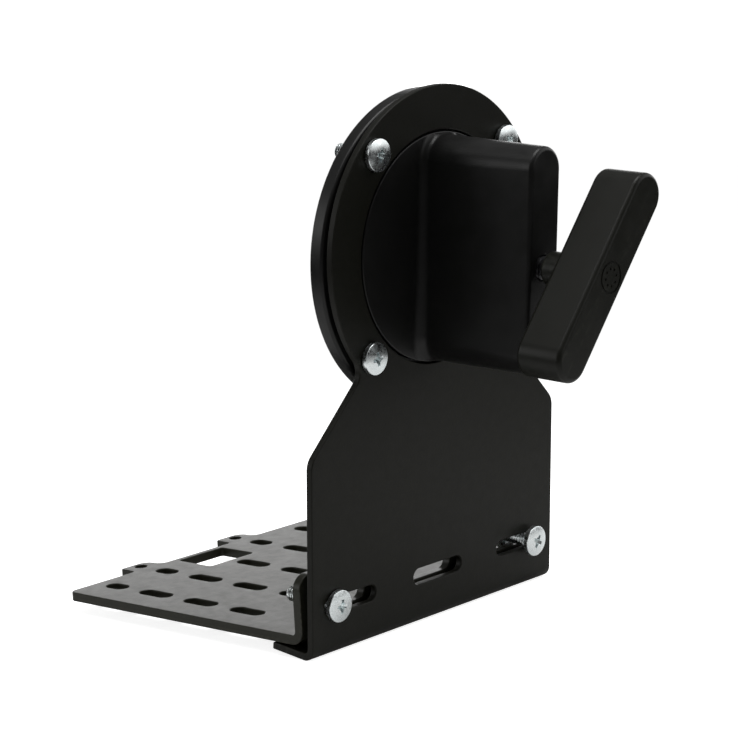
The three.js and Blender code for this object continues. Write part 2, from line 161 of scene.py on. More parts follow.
GRIP_HALF = 9.2
GRIP_LENGTH = 90.6
GRIP_FRONT = -84.4
GRIP_BACK = -63.7
GRIP_EDGE = 1.9
GRIP_TURN = 38.5  # degrees
MARK_RING = (5.6, 6.4, 0.35)  # the grip's mark: inner and outer radius, depth
MARK_DRAFT = 0.2
MARK_DOTS = 8
MARK_DOT = (3.4, 0.55, 0.8, 0.3)  # distance out, radius at its bottom and above it, depth
COLLAR = (7.0, -56.0)  # radius, y of its back
STUD_RADIUS = 4.7625
STUD_PITCH = 1.5875
STUD_THREAD_DEPTH = 0.75
STUD_HEAD = (14.3, -79.0, 6.0)  # across flats, y of its front, height
STUD_END = -25.5
STOP_RING = (7.1, -32.2, 5.0)  # radius, y of its front, length
POST_INSERT = (7.2, 12.0)  # radius, length

# ---------------------------------------------------------------- working frames
MM = 0.001
record = frame["record"]
joints = {joint["name"]: joint for joint in record["behaviour"]["joints"]}
handle_axis = Vector(joints["handle_turn"]["axis"])
LEAN = math.atan2(handle_axis.z, handle_axis.y)

bracket_low, bracket_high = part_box("base_bracket")
ORIGIN = Vector((0, bracket_low.y - FLANGE_FRONT * MM, bracket_high.z - FLANGE_TOP * MM))
BASE_FRAME = Matrix.Translation(ORIGIN) @ Matrix.Scale(MM, 4)
UPRIGHT_FRAME = Matrix.Translation(ORIGIN) @ Matrix.Rotation(LEAN, 4, "X") @ Matrix.Scale(MM, 4)


def at(x, y, z):
    return Matrix.Translation((x, y, z))


def turn_about_y(degrees):
    return Matrix.Rotation(math.radians(degrees), 4, "Y")


AXIS_FRAME = UPRIGHT_FRAME @ at(0, 0, AXIS_Z)
HANDLE_FRAME = AXIS_FRAME @ turn_about_y(GRIP_TURN)


# ---------------------------------------------------------------- outlines
def arc(x, y, radius, start, end, steps=10):
    """Points on a circle from one angle to the other, in degrees."""
    angles = [math.radians(start + (end - start) * i / steps) for i in range(steps + 1)]
    return [Vector((x + radius * math.cos(a), y + radius * math.sin(a))) for a in angles]


def tidy(points):
    """The closed outline without points that fall on the one before."""
    return [p for i, p in enumerate(points) if (p - points[i - 1]).length > 1e-4]


def inset(loop, distance):
    """The outline moved to its left by distance, its corners mitred."""
    moved = []
    for i, point in enumerate(loop):
        before = (point - loop[i - 1]).normalized()
        after = (loop[(i + 1) % len(loop)] - point).normalized()
        left = Vector((-before.y - after.y, before.x + after.x))
        moved.append(point + left * (2 * distance / left.length_squared))
    return moved


def slot_hole(x0, y0, x1, y1, width):
    """A slot between two centres, drawn clockwise as holes are."""
    r = width / 2
    along = math.degrees(math.atan2(y1 - y0, x1 - x0))
    right = arc(x1, y1, r, along + 90, along - 90, 14)
    left = arc(x0, y0, r, along - 90, along - 270, 14)
    return tidy(right + left)


def round_hole(x, y, radius, steps):
    return tidy(arc(x, y, radius, 360, 0, steps))


def rectangle_hole(x0, y0, x1, y1, r):
    corners = arc(x1 - r, y1 - r, r, 90, 0, 4) + arc(x1 - r, y0 + r, r, 0, -90, 4)
    corners += arc(x0 + r, y0 + r, r, -90, -180, 4) + arc(x0 + r, y1 - r, r, 180, 90, 4)
    return tidy(corners)


# ---------------------------------------------------------------- mesh makers
SHARP_ANGLE = math.radians(38)
NORMAL_WEIGHT = 90
BEND_CUTS, LIP_CUTS = 12, 14  # facets round the base's bend and the upright's
SIDE_COLUMNS, END_COLUMNS = 50, 24  # columns on each side and round each end of the post


def flat_plate(loops, thickness):
    """A flat plate in (x, s) with its thickness along n, every edge rounded."""
    bm = bmesh.new()
    half = thickness / 2
    quarter = [math.radians(angle) for angle in (0, 30, 60, 90)]
    lower = [(PLATE_EDGE * (1 - math.sin(a)), -half + PLATE_EDGE * (1 - math.cos(a))) for a in quarter]
    profile = lower + [(d, -n) for d, n in reversed(lower)]
    caps = ([], [])
    for loop in loops:
        rings = [[bm.verts.new((p.x, p.y, n)) for p in inset(loop, d)] for d, n in profile]
        for low, high in zip(rings, rings[1:]):
            for i in range(len(loop)):
                bm.faces.new((low[i - 1], low[i], high[i], high[i - 1]))
        for cap, ring in zip(caps, (rings[0], rings[-1])):
            cap += [bm.edges.get((ring[i - 1], ring[i])) for i in range(len(ring))]
    for cap in caps:
        bmesh.ops.triangle_fill(bm, edges=cap, use_beauty=True)
    return bm


def bend(bm, stations, path):
    """Cuts the plate across s at the stations, then moves each point onto path(s, n)."""
    for s in stations:
        everything = bm.verts[:] + bm.edges[:] + bm.faces[:]
        bmesh.ops.bisect_plane(bm, geom=everything, dist=1e-5, plane_co=(0, s, 0), plane_no=(0, 1, 0))
    for vert in bm.verts:
        y, z = path(vert.co.y, vert.co.z)
        vert.co = (vert.co.x, y, z)
    bmesh.ops.recalc_face_normals(bm, faces=bm.faces)
    return bm


def skin(rings, closed=False):
    """A skin through rings of points; a ring of one point closes an end, closed joins the ends."""
    bm = bmesh.new()
    made = [[bm.verts.new(p) for p in ring] for ring in rings]
    pairs = list(zip(made, made[1:]))
    if closed:
        pairs.append((made[-1], made[0]))
    for a, b in pairs:
        for i in range(max(len(a), len(b))):
            corners = [a[i - 1], a[i], b[i], b[i - 1]] if len(a) > 1 and len(b) > 1 else (
                [a[0], b[i], b[i - 1]] if len(a) == 1 else [a[i - 1], a[i], b[0]])
            bm.faces.new(corners)
    bmesh.ops.recalc_face_normals(bm, faces=bm.faces)
    return bm


def round_ring(radius, y, columns):
    """A ring about the Y axis; radius is a number or a function of the angle."""
    if radius == 0:
        return [(0, y, 0)]
    ring = []
    for i in range(columns):
        angle = 2 * math.pi * i / columns
        r = radius(angle) if callable(radius) else radius
        ring.append((r * math.cos(angle), y, r * math.sin(angle)))
    return ring


def turned(profile, columns=48, closed=False):
    """The (radius, y) profile turned about the Y axis."""
    return skin([round_ring(r, y, columns) for r, y in profile], closed)


def thread_profile(radius, start, end, pitch, depth, tip=0.0):
    """(radius function, y) stations of a screw thread; tip is the chamfer at its end."""
    rows = int(abs(end - start) / pitch * 8)  # eight to a turn
    stations = []
    for k in range(rows + 1):
        y = start + (end - start) * k / rows
        runout = min(1.0, abs(y - start) / pitch)
        limit = radius - max(0.0, tip - abs(end - y))

        def wave(angle, y=y, runout=runout, limit=limit):
            turn = (y / pitch - angle / (2 * math.pi)) % 1
            from_crest = 0.5 - abs(turn - 0.5)
            valley = max(0.0, min(1.0, 2.6 * from_crest - 0.15))
            return min(radius - depth * runout * valley, limit)

        stations.append((wave, y))
    return stations


def rounding(corner, y, r, start, end, steps=4):
    """(radius, y) stations of a rounded corner whose arc centre is (corner - r, y)."""
    return [(p.x, p.y) for p in arc(corner - r, y, r, start, end, steps)]


def to_object(bm, name):
    mesh = bpy.data.meshes.new(name)
    bm.to_mesh(mesh)
    bm.free()
    piece = bpy.data.objects.new(name, mesh)
    bpy.context.scene.collection.objects.link(piece)
    return piece


def cut(piece, *cutters):
    """Takes the cutters' shapes out of the piece."""
    for bm in cutters:
        cutter = to_object(bm, "cutter")
        modifier = piece.modifiers.new("cut", "BOOLEAN")
        modifier.operation = "DIFFERENCE"
        modifier.solver = "EXACT"
        modifier.object = cutter
        evaluated = piece.evaluated_get(bpy.context.evaluated_depsgraph_get())
        mesh = bpy.data.meshes.new_from_object(evaluated)
        piece.modifiers.clear()
        piece.data = mesh
        bpy.data.objects.remove(cutter)
    return piece


def moved(bm, x, z):
    """The shape moved across the Y axis, for a cutter that was turned about it."""
    bmesh.ops.translate(bm, verts=bm.verts, vec=(x, 0, z))
    return bm


def finish_piece(piece, matrix, material, body, cad_node):
    """Puts a piece in the row frame, shades it, ties it to its body and hides its CAD node."""
    piece.data.transform(matrix)
    piece.data.materials.clear()
    piece.data.materials.append(material)
    for polygon in piece.data.polygons:
        polygon.use_smooth = True
    piece.data.set_sharp_from_angle(angle=SHARP_ANGLE)
    normals = piece.modifiers.new("normals", "WEIGHTED_NORMAL")
    normals.keep_sharp = True
    normals.weight = NORMAL_WEIGHT
    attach(piece, body)
    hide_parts(cad_node)


# ---------------------------------------------------------------- materials
def shader(name, color, roughness, metallic, specular=0.5):
    """A new material and its shader, with these values set."""
    material = bpy.data.materials.new(name)
    material.use_nodes = True
    bsdf = material.node_tree.nodes["Principled BSDF"]
    bsdf.inputs["Base Color"].default_value = (*color, 1)
    bsdf.inputs["Roughness"].default_value = roughness
    bsdf.inputs["Metallic"].default_value = metallic
    bsdf.inputs["Specular IOR Level"].default_value = specular
    return material, bsdf


def node(material, kind, **inputs):
    """A new shader node in a material or world, with these inputs set."""
    made = material.node_tree.nodes.new(kind)
    for key, value in inputs.items():
        made.inputs[key.replace("_", " ")].default_value = value
    return made


def link(material, source, target):
    material.node_tree.links.new(source, target)


def noise(material, scale, detail=4.0, stretch=None):
    """Noise in the row frame, in features per metre."""
    coordinates = node(material, "ShaderNodeTexCoord").outputs["Object"]
    if stretch:
        mapping = node(material, "ShaderNodeMapping", Scale=stretch)
        link(material, coordinates, mapping.inputs["Vector"])
        coordinates = mapping.outputs["Vector"]
    texture = node(material, "ShaderNodeTexNoise", Scale=scale, Detail=detail)
    link(material, coordinates, texture.inputs["Vector"])
    return texture.outputs["Fac"]


def calculate(material, operation, *values):
    """A Math node of nodes' outputs or numbers."""
    made = node(material, "ShaderNodeMath")
    made.operation = operation
    for value, socket in zip(values, made.inputs):
        if isinstance(value, (int, float)):
            socket.default_value = value
        else:
            link(material, value, socket)
    return made.outputs["Value"]


def product(material, a, b):
    """Two nodes' outputs multiplied."""
    return calculate(material, "MULTIPLY", a, b)


def spread(material, source, low, high, from_low=0.3, from_high=0.7):
    """Maps from_low to from_high of a node's output onto low to high, and stops there."""
    remap = node(material, "ShaderNodeMapRange")
    remap.inputs["From Min"].default_value = from_low
    remap.inputs["From Max"].default_value = from_high
    remap.inputs["To Min"].default_value = low
    remap.inputs["To Max"].default_value = high
    link(material, source, remap.inputs["Value"])
    return remap.outputs["Result"]


def mix_color(material, factor, a, b):
    """Mixes two colours, each a plain one or a node's output, by a node's output."""
    mix = material.node_tree.nodes.new("ShaderNodeMix")
    mix.data_type = "RGBA"
    link(material, factor, mix.inputs[0])
    for socket, value in ((mix.inputs[6], a), (mix.inputs[7], b)):
        if isinstance(value, tuple):
            socket.default_value = (*value, 1)
        else:
            link(material, value, socket)
    return mix.outputs[2]


def bump(material, bsdf, layers):
    """Stacks bump layers of (height output, depth in metres) on the shader."""
    normal = None
    for height, distance in layers:
        made = node(material, "ShaderNodeBump", Strength=1.0, Distance=distance)
        link(material, height, made.inputs["Height"])
        if normal:
            link(material, normal, made.inputs["Normal"])
        normal = made.outputs["Normal"]
    link(material, normal, bsdf.inputs["Normal"])


def edge_wear_and_highlight(material, low, high):
    """0 on flats, 1 on outer edges, broken up by noise. It lightens the edges' colour: partly wear,
    partly a painted highlight.
    """
    geometry = node(material, "ShaderNodeNewGeometry")
    edges = spread(material, geometry.outputs["Pointiness"], 0.0, 1.0, low, high)
    patches = spread(material, noise(material, 420), 0.0, 1.0, 0.42, 0.62)
    return product(material, edges, patches)


def scaled(color, factor, lift=0.0):
    """A lighter or darker shade of the colour."""
    return tuple(c * factor + lift for c in color)


def powder_coat(name, color, roughness, specular):
    """Satin black powder coat: orange peel, uneven gloss, and edges lightened in colour, partly rubbed
    wear and partly a painted highlight.
    """
    material, bsdf = shader(name, color, roughness, 0.0, specular)
    tone = mix_color(material, noise(material, 900, 3.0), scaled(color, 0.8), scaled(color, 1.22))
    wear_and_highlight = edge_wear_and_highlight(material, 0.53, 0.62)
    # Edges lightened in colour: rubbed wear together with a painted highlight.
    rubbed_and_highlit = mix_color(material, wear_and_highlight, tone, scaled(color, 2.2, 0.01))
    link(material, rubbed_and_highlit, bsdf.inputs["Base Color"])
    gloss = spread(material, noise(material, 260, 5.0), roughness - 0.03, roughness + 0.04)
    link(material, gloss, bsdf.inputs["Roughness"])
    bump(material, bsdf, [
        (noise(material, 900, 2.0), 0.00003),
        (noise(material, 2600, 2.0), 0.000014),
    ])
    return material


def moulded_plastic(name, color, roughness, specular):
    """Black moulded plastic: fine spark-eroded grain, faint flow marks, and edges lightened in colour,
    partly polish and partly a painted highlight.
    """
    material, bsdf = shader(name, color, roughness, 0.0, specular)
    flow = noise(material, 26, 3.0, (1.0, 0.35, 1.0))
    tone = mix_color(material, flow, scaled(color, 0.8), scaled(color, 1.25))
    wear_and_highlight = edge_wear_and_highlight(material, 0.52, 0.6)
    # Edges lightened in colour: polish together with a painted highlight.
    polished_and_highlit = mix_color(material, wear_and_highlight, tone, scaled(color, 1.9))
    link(material, polished_and_highlit, bsdf.inputs["Base Color"])
    gloss = spread(material, noise(material, 120, 4.0), roughness - 0.04, roughness + 0.06)
    link(material, gloss, bsdf.inputs["Roughness"])
    bump(material, bsdf, [
        (noise(material, 2200, 3.0), 0.000018),
        (noise(material, 90, 2.0), 0.00004),
    ])
    return material


def plated_metal(name, color, roughness, tint, grain=(1.0, 1.0, 1.0)):
    """Plated or machined metal: soft colour drift, fine streaks and small pits."""
    material, bsdf = shader(name, color, roughness, 1.0)
    tone = mix_color(material, noise(material, 180, 3.0), color, tint)
    link(material, tone, bsdf.inputs["Base Color"])
    gloss = spread(material, noise(material, 700, 4.0), roughness - 0.06, roughness + 0.1)
    link(material, gloss, bsdf.inputs["Roughness"])
    bump(material, bsdf, [(noise(material, 1500, 3.0, grain), 0.000012)])
    return material


BASE_PAINT = powder_coat("base_paint", (0.018, 0.018, 0.012), 0.32, 0.22)
UPRIGHT_PAINT = powder_coat("upright_paint", (0.0068, 0.0069, 0.0045), 0.44, 0.175)
MOUNT_PLASTIC = moulded_plastic("mount_plastic", (0.0078, 0.0078, 0.0076), 0.32, 0.28)
GRIP_PLASTIC = moulded_plastic("grip_plastic", (0.0088, 0.0090, 0.0068), 0.34, 0.2)
ZINC = plated_metal("zinc", (0.92, 0.94, 0.93), 0.25, (0.80, 0.87, 0.89))
BRASS = plated_metal("brass", (0.66, 0.50, 0.26), 0.3, (0.55, 0.40, 0.20))
STUD_STEEL = plated_metal(
    "stud_steel", (0.06, 0.06, 0.062), 0.36, (0.035, 0.035, 0.038), (1.0, 8.0, 1.0))


# ---------------------------------------------------------------- base bracket
def base_path():
    """The sheet's run from the flange's top, round the bend, to the rear.

    Gives s as a function of y on the base, the bend's stations, and the path.
    """
    outer = BASE_BEND + BASE_THICKNESS
    middle = BASE_BEND + BASE_THICKNESS / 2
    bend_y = FLANGE_FRONT + outer
    bend_z = BASE_TOP - BASE_THICKNESS + outer
    straight = FLANGE_TOP - bend_z
    turn = middle * math.pi / 2

    def path(s, n):
        if s <= straight:
            return bend_y - middle - n, FLANGE_TOP - s
        if s >= straight + turn:
            return bend_y + s - straight - turn, bend_z - middle - n
        angle = (s - straight) / middle
        reach = middle + n
        return bend_y - reach * math.cos(angle), bend_z - reach * math.sin(angle)

    def along(y):
        return straight + turn + y - bend_y

    stations = [straight + turn * i / BEND_CUTS for i in range(BEND_CUTS + 1)]
    return along, stations, path


def base_outline(rear, tip):
    """The unfolded sheet's outline; rear and tip are the s of its rear edge and its ears' tips."""
    outline = arc(HALF - FLANGE_RADIUS, FLANGE_RADIUS, FLANGE_RADIUS, -90, 0)
    outline += arc(HALF - REAR_RADIUS, rear - REAR_RADIUS, REAR_RADIUS, 0, 90)
    r0, r1 = EAR_RADII
    f0, f1 = EAR_FILLETS
    for x in EAR_COLUMNS:
        right, left = x + EAR_HALF, x - EAR_HALF
        outline += arc(right + f1, rear + f1, f1, -90, -180, 8)
        outline += arc(right - r1, tip - r1, r1, 0, 90)
        outline += arc(left + r0, tip - r0, r0, 90, 180, 6)
        outline += arc(left - f0, rear + f0, f0, 0, -90, 4)
    outline += arc(-HALF + REAR_RADIUS, rear - REAR_RADIUS, REAR_RADIUS, 90, 180)
    outline += arc(-HALF + FLANGE_RADIUS, FLANGE_RADIUS, FLANGE_RADIUS, 180, 270)
    return tidy(outline)


def base_holes(along):
    """The base's slots and cut-out, its ears' holes, and the flange's bolt slots."""
    holes = []
    for x in COLUMNS:
        rows = LONG_ROWS if x == 0 else (SHORT_ROW, *LONG_ROWS)
        for y, length in rows:
            reach = (length - SLOT_WIDTH) / 2
            holes.append(slot_hole(x, along(y) - reach, x, along(y) + reach, SLOT_WIDTH))
    half, front, back, radius = CUT_OUT
    holes.append(rectangle_hole(-half, along(front), half, along(back), radius))
    holes += [round_hole(x, along(EAR_HOLE[0]), EAR_HOLE[1], steps=32) for x in reversed(EAR_COLUMNS)]
    middle, height = FLANGE_SLOT
    holes += bolt_slots(FLANGE_TOP - middle, height)
    return holes


def bolt_slots(level, height):
    """The three slots that both plates share, at a level of their own."""
    reach = height / 2
    return [slot_hole(a + reach, level, b - reach, level, height) for a, b in SLOT_SPANS]


def base_bracket():
    along, stations, path = base_path()
    loops = [base_outline(along(BASE_REAR), along(EAR_REACH)), *base_holes(along)]
    bm = bend(flat_plate(loops, BASE_THICKNESS), stations, path)
    piece = to_object(bm, "base_bracket_steel")
    finish_piece(piece, BASE_FRAME, BASE_PAINT, "bracket", "base_bracket")


# ---------------------------------------------------------------- upright plate
def upright_path():
    """The sheet's run as (lowest s, stations, path); above the bend s is the height."""
    outer = UPRIGHT_BEND + UPRIGHT_THICKNESS
    middle = UPRIGHT_BEND + UPRIGHT_THICKNESS / 2
    swing = math.pi / 2 + LIP_RISE
    turn = middle * swing
    lip = (LIP_REACH - outer - outer * math.sin(LIP_RISE)) / math.cos(LIP_RISE)

    def path(s, n):
        reach = middle + n
        angle = min(max(outer - s, 0.0) / middle, swing)
        y = outer - reach * math.cos(angle)
        z = outer - reach * math.sin(angle)
        if s > outer:
            return y, s
        beyond = max(outer - s - turn, 0.0)
        return y + beyond * math.cos(LIP_RISE), z + beyond * math.sin(LIP_RISE)

    stations = [outer - turn * i / LIP_CUTS for i in range(LIP_CUTS + 1)]
    return outer - turn - lip, stations, path


def upright_outline(lowest):
    """Straight sides, rounded shoulders, 45 degree edges and a hollow fillet into the head."""
    shoulder_z = SHOULDER - SHOULDER_RADIUS * math.tan(math.pi / 8)
    line = (HEAD_Z - SHOULDER - HALF) * math.cos(math.pi / 4) - NECK_RADIUS
    reach = math.sqrt((HEAD_RADIUS + NECK_RADIUS) ** 2 - line ** 2)
    neck_x = (reach - line) * math.cos(math.pi / 4)
    neck_z = HEAD_Z - (reach + line) * math.cos(math.pi / 4)
    to_head = math.degrees(math.atan2(HEAD_Z - neck_z, -neck_x)) - 360
    from_head = math.degrees(math.atan2(neck_z - HEAD_Z, neck_x))
    right = [Vector((HALF, lowest))]
    right += arc(HALF - SHOULDER_RADIUS, shoulder_z, SHOULDER_RADIUS, 0, 45)
    right += arc(neck_x, neck_z, NECK_RADIUS, -135, to_head, 12)
    right += arc(0, HEAD_Z, HEAD_RADIUS, from_head, 90, 60)
    left = [Vector((-p.x, p.y)) for p in reversed(right)]
    return tidy(right + left)


def mount_turned(x, z, centre_z):
    """A point beside the mount's middle, turned with the mount."""
    c, s = math.cos(MOUNT_TURN), math.sin(MOUNT_TURN)
    return Vector((x * c + z * s, centre_z + z * c - x * s))


def screw_places():
    """The four screws' (x, z), in a square about the hub's middle that is turned with the mount."""
    s = SCREW_SPACING
    return [tuple(mount_turned(x, z, HUB_Z)) for x, z in ((-s, s), (s, s), (-s, -s), (s, -s))]


def upright_plate():
    lowest, stations, path = upright_path()
    loops = [upright_outline(lowest), round_hole(0, *OPENING, steps=160)]
    clearance = SCREW_RADIUS + SCREW_CLEARANCE
    loops += [round_hole(x, z, clearance, steps=32) for x, z in screw_places()]
    loops += bolt_slots(SLOT_Z, UPRIGHT_SLOT_HEIGHT)
    bm = bend(flat_plate(loops, UPRIGHT_THICKNESS), stations, path)
    piece = to_object(bm, "upright_plate_steel")
    finish_piece(piece, UPRIGHT_FRAME, UPRIGHT_PAINT, "upright", "upright_plate")


# ---------------------------------------------------------------- mount body
def post_stations():
    """(height, direction) of each column round the post; height is a share of the straight sides."""
    stations = []
    half, straight = POST_TIP[0], POST_TIP[1] - POST_TIP[0]
    side = math.degrees(math.atan2(straight, half))
    for sign, turn in ((1, 0), (-1, 180)):
        for k in range(SIDE_COLUMNS):
            ray = math.radians(-side + 2 * side * k / SIDE_COLUMNS)
            stations.append((math.tan(ray) * half / straight * sign, Vector((sign, 0))))
        for k in range(END_COLUMNS):
            angle = math.radians(turn + 180 * k / END_COLUMNS)
            stations.append((float(sign), Vector((math.cos(angle), math.sin(angle)))))
    return stations


POST_STATIONS = post_stations()


def post_ring(grow, y, rise=None):
    """A ring of the post's outline at y, grown by grow; rise lifts it off the hub for the fillet."""
    in_fillet = rise is not None
    rise = rise or 0.0
    share = min(1.0, max(0.0, (y - rise - POST_END - POST_EDGE) / (HUB_FRONT - POST_END - POST_EDGE)))
    half, height = (tip + (root - tip) * share for tip, root in zip(POST_TIP, POST_ROOT))
    ring = []
    for station, direction in POST_STATIONS:
        scale = 1 - ROOT_GROWTH * station if in_fillet else 1
        point = Vector((0, (height - half) * station)) + direction * (half + grow * scale)
        point = mount_turned(point.x, point.y, POST_Z)
        if in_fillet:
            from_hub = point - Vector((0, HUB_Z))
            from_hub.length = min(from_hub.length, HUB_RADIUS - HUB_RIM)
            point = from_hub + Vector((0, HUB_Z))
        ring.append((point.x, y - rise * scale, point.y))
    return ring


def mount_ring(radius, y, centre_z):
    """A round ring with the post's columns, so that skins can run from one to the other."""
    half, height = POST_TIP
    ring = []
    for station, direction in POST_STATIONS:
        ray = (Vector((0, (height - half) * station)) + direction * half).normalized() * radius
        point = mount_turned(ray.x, ray.y, centre_z)
        ring.append((point.x, y, point.y))
    return ring


def screw_holes():
    """Cutters for the four holes, which widen for the inserts behind."""
    through = SCREW_RADIUS + SCREW_CLEARANCE
    sunk = INSERT[0] + GAP
    front, step, back = PAD[1] - BEYOND, MOUNT_BACK - INSERT[1] - GAP, MOUNT_BACK + BEYOND
    profile = [(0, front), (through, front), (through, step), (sunk, step), (sunk, back), (0, back)]
    return [moved(turned(profile), x, z) for x, z in screw_places()]


def mount_body():
    """One closed skin: out along the stud's bore, over the post, hub and disc, and back in behind."""
    bore = POST_INSERT[0] + GAP
    stud_hole = STUD_RADIUS + GAP
    wall = POST_END + END_WALL
    front_chamfer, back_chamfer = 0.4, 0.5
    rings = [mount_ring(stud_hole, wall, AXIS_Z)]
    rings.append(mount_ring(stud_hole, POST_END + front_chamfer, AXIS_Z))
    rings.append(mount_ring(stud_hole + front_chamfer, POST_END, AXIS_Z))
    for p in arc(-POST_EDGE, POST_END + POST_EDGE, POST_EDGE, -90, 0, 5):
        rings.append(post_ring(p.x, p.y))
    for p in arc(ROOT_FILLET, -ROOT_FILLET, ROOT_FILLET, 180, 90, 10):
        rings.append(post_ring(p.x, HUB_FRONT, -p.y))
    for r, y in rounding(HUB_RADIUS, HUB_FRONT + HUB_RIM, HUB_RIM, -90, 0):
        rings.append(mount_ring(r, y, HUB_Z))
    rings.append(mount_ring(HUB_RADIUS, PAD[1], HUB_Z))
    rings.append(mount_ring(PAD[0], PAD[1], MOUNT_Z))
    rings.append(mount_ring(PAD[0], DISC_FRONT, MOUNT_Z))
    for r, y in rounding(DISC_RADIUS, DISC_FRONT + DISC_RIM, DISC_RIM, -90, 0, 5):
        rings.append(mount_ring(r, y, MOUNT_Z))
    for r, y in rounding(DISC_RADIUS, MOUNT_BACK - DISC_RIM, DISC_RIM, 0, 90, 5):
        rings.append(mount_ring(r, y, MOUNT_Z))
    rings.append(mount_ring(bore + back_chamfer, MOUNT_BACK, AXIS_Z))
    rings.append(mount_ring(bore, MOUNT_BACK - back_chamfer, AXIS_Z))
    rings.append(mount_ring(bore, wall, AXIS_Z))
    piece = to_object(skin(rings, closed=True), "mount_moulding")
    cut(piece, *screw_holes())
    finish_piece(piece, UPRIGHT_FRAME, MOUNT_PLASTIC, "upright", "mount_body")


# ---------------------------------------------------------------- screws, nuts and inserts
def recess_wing(turn):
    """A cutter for one tapered bar of a cross recess in a screw's head."""
    above, bottom = -SCREW_HEAD_HEIGHT - BEYOND, -SCREW_HEAD_HEIGHT + RECESS_DEPTH
    c, s = math.cos(turn), math.sin(turn)
    rings = []
    for y, (length, width) in ((above, RECESS_ABOVE), (bottom, RECESS_BOTTOM)):
        half_x, half_z = length / 2, width / 2
        corners = [(-half_x, -half_z), (half_x, -half_z), (half_x, half_z), (-half_x, half_z)]
        rings.append([(c * x - s * z, y, s * x + c * z) for x, z in corners])
    return skin([[(0, above, 0)], *rings, [(0, bottom, 0)]])


def pan_screw(length, name, thread_start):
    """A Phillips pan-head screw: domed head in -Y from the origin, threaded shank in +Y."""
    head, top = SCREW_HEAD_RADIUS, -SCREW_HEAD_HEIGHT
    corner, chamfer, root, tip = 0.3, 0.22, 0.25, 0.8
    drop = SCREW_HEAD_HEIGHT - SCREW_HEAD_SIDE - corner
    profile = [(0.0, top)]
    for k in range(1, 9):
        share = k / 8
        profile.append(((head - corner) * share, top + drop * share ** 2.2))
    profile += rounding(head, -SCREW_HEAD_SIDE, corner, -90, 0)[1:]
    profile += [(head, -chamfer), (head - chamfer, 0.0), (SCREW_RADIUS + root, 0.0)]
    profile += [(SCREW_RADIUS, root), (SCREW_RADIUS, thread_start)]
    profile += thread_profile(SCREW_RADIUS, thread_start, length, SCREW_PITCH, SCREW_THREAD_DEPTH, tip)
    profile.append((0, length))
    piece = to_object(turned(profile, 56), name)
    core = turned([(0, top - BEYOND)] + [(radius, top + depth) for radius, depth in RECESS_CORE], 8)
    return cut(piece, recess_wing(0), recess_wing(math.pi / 2), core)


def hex_limit(across):
    """The radius of a hexagon as a function of the angle."""
    def radius(angle):
        return across / 2 / math.cos((angle % (math.pi / 3)) - math.pi / 6)
    return radius


def hex_nut(across, height, bore, pitch, name):
    """A hex nut about the Y axis with chamfered corners and a threaded bore."""
    flats = hex_limit(across)
    inner, outer = across / 2 - 0.3, across / math.sqrt(3) + 0.02
    drop = 0.55 * (across / math.sqrt(3) - across / 2)
    chamfer = 0.45

    def shaped(limit):
        return lambda angle: min(flats(angle), limit)

    low = [(shaped(inner + (outer - inner) * k / 5), drop * k / 5) for k in range(6)]
    profile = low + [(limit, height - y) for limit, y in reversed(low)]
    profile.append((bore + chamfer, height))
    profile += thread_profile(bore, height - chamfer, chamfer, pitch, -NUT_THREAD_DEPTH)
    profile.append((bore + chamfer, 0.0))
    return to_object(turned(profile, 72, closed=True), name)


def knurled_insert(radius, length, bore, name):
    """A round insert with two straight-knurled bands and a groove between them."""
    def knurl(angle):
        return radius - KNURL_DEPTH * abs(((angle * KNURLS / math.pi) % 2) - 1)

    groove, chamfer = radius - 0.55, 0.4
    profile = [(bore + chamfer, 0.0), (radius - chamfer, 0.0), (knurl, chamfer), (knurl, 0.42 * length)]
    profile += [(groove, 0.46 * length), (groove, 0.54 * length), (knurl, 0.58 * length)]
    profile += [(knurl, length - chamfer), (radius - chamfer, length), (bore + chamfer, length)]
    profile += [(bore, length - chamfer), (bore, chamfer)]
    return to_object(turned(profile, 96, closed=True), name)


def copy_of(piece, name):
    """A second object with its own copy of the mesh."""
    copied = bpy.data.objects.new(name, piece.data.copy())
    bpy.context.scene.collection.objects.link(copied)
    return copied


def mount_fixings():
    screw = pan_screw(MOUNT_SCREW_LENGTH, "mount_screw", thread_start=3.0)
    insert = knurled_insert(*INSERT, SCREW_RADIUS + GAP, "mount_insert")
    for i, ((x, z), degrees) in enumerate(zip(screw_places(), MOUNT_SCREW_TURNS), 1):
        piece = copy_of(screw, f"mount_screw_{i}_zinc")
        place = UPRIGHT_FRAME @ at(x, -GAP, z) @ turn_about_y(degrees)
        finish_piece(piece, place, ZINC, "upright", f"mount_screw_{i}")
        piece = copy_of(insert, f"mount_insert_{i}_brass")
        place = UPRIGHT_FRAME @ at(x, MOUNT_BACK - INSERT[1], z)
        finish_piece(piece, place, BRASS, "upright", f"mount_insert_{i}")
    bpy.data.objects.remove(screw)
    bpy.data.objects.remove(insert)


def slide_fixings():
    bolt = pan_screw(SLIDE_BOLT_LENGTH, "slide_bolt", thread_start=1.0)
    nut = hex_nut(*NUT, SCREW_RADIUS + GAP, SCREW_PITCH, "slide_nut")
    for side, degrees in SLIDE_BOLT_TURNS.items():
        low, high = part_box(f"slide_bolt_{side}")
        x = (low.x + high.x) / 2 / MM
        place = UPRIGHT_FRAME @ at(x, SLIDE_UNDER_HEAD[side], SLOT_Z) @ turn_about_y(degrees)
        piece = copy_of(bolt, f"slide_bolt_{side}_zinc")
        finish_piece(piece, place, ZINC, "bracket", f"slide_bolt_{side}")
        place = UPRIGHT_FRAME @ at(x, NUT_FRONT, SLOT_Z)
        piece = copy_of(nut, f"slide_nut_{side}_zinc")
        finish_piece(piece, place, ZINC, "bracket", f"slide_nut_{side}")
    bpy.data.objects.remove(bolt)
    bpy.data.objects.remove(nut)


def post_insert():
    piece = knurled_insert(*POST_INSERT, STUD_RADIUS + GAP, "post_insert_brass")
    place = AXIS_FRAME @ at(0, POST_END + END_WALL + GAP, 0)
    finish_piece(piece, place, BRASS, "upright", "post_insert")


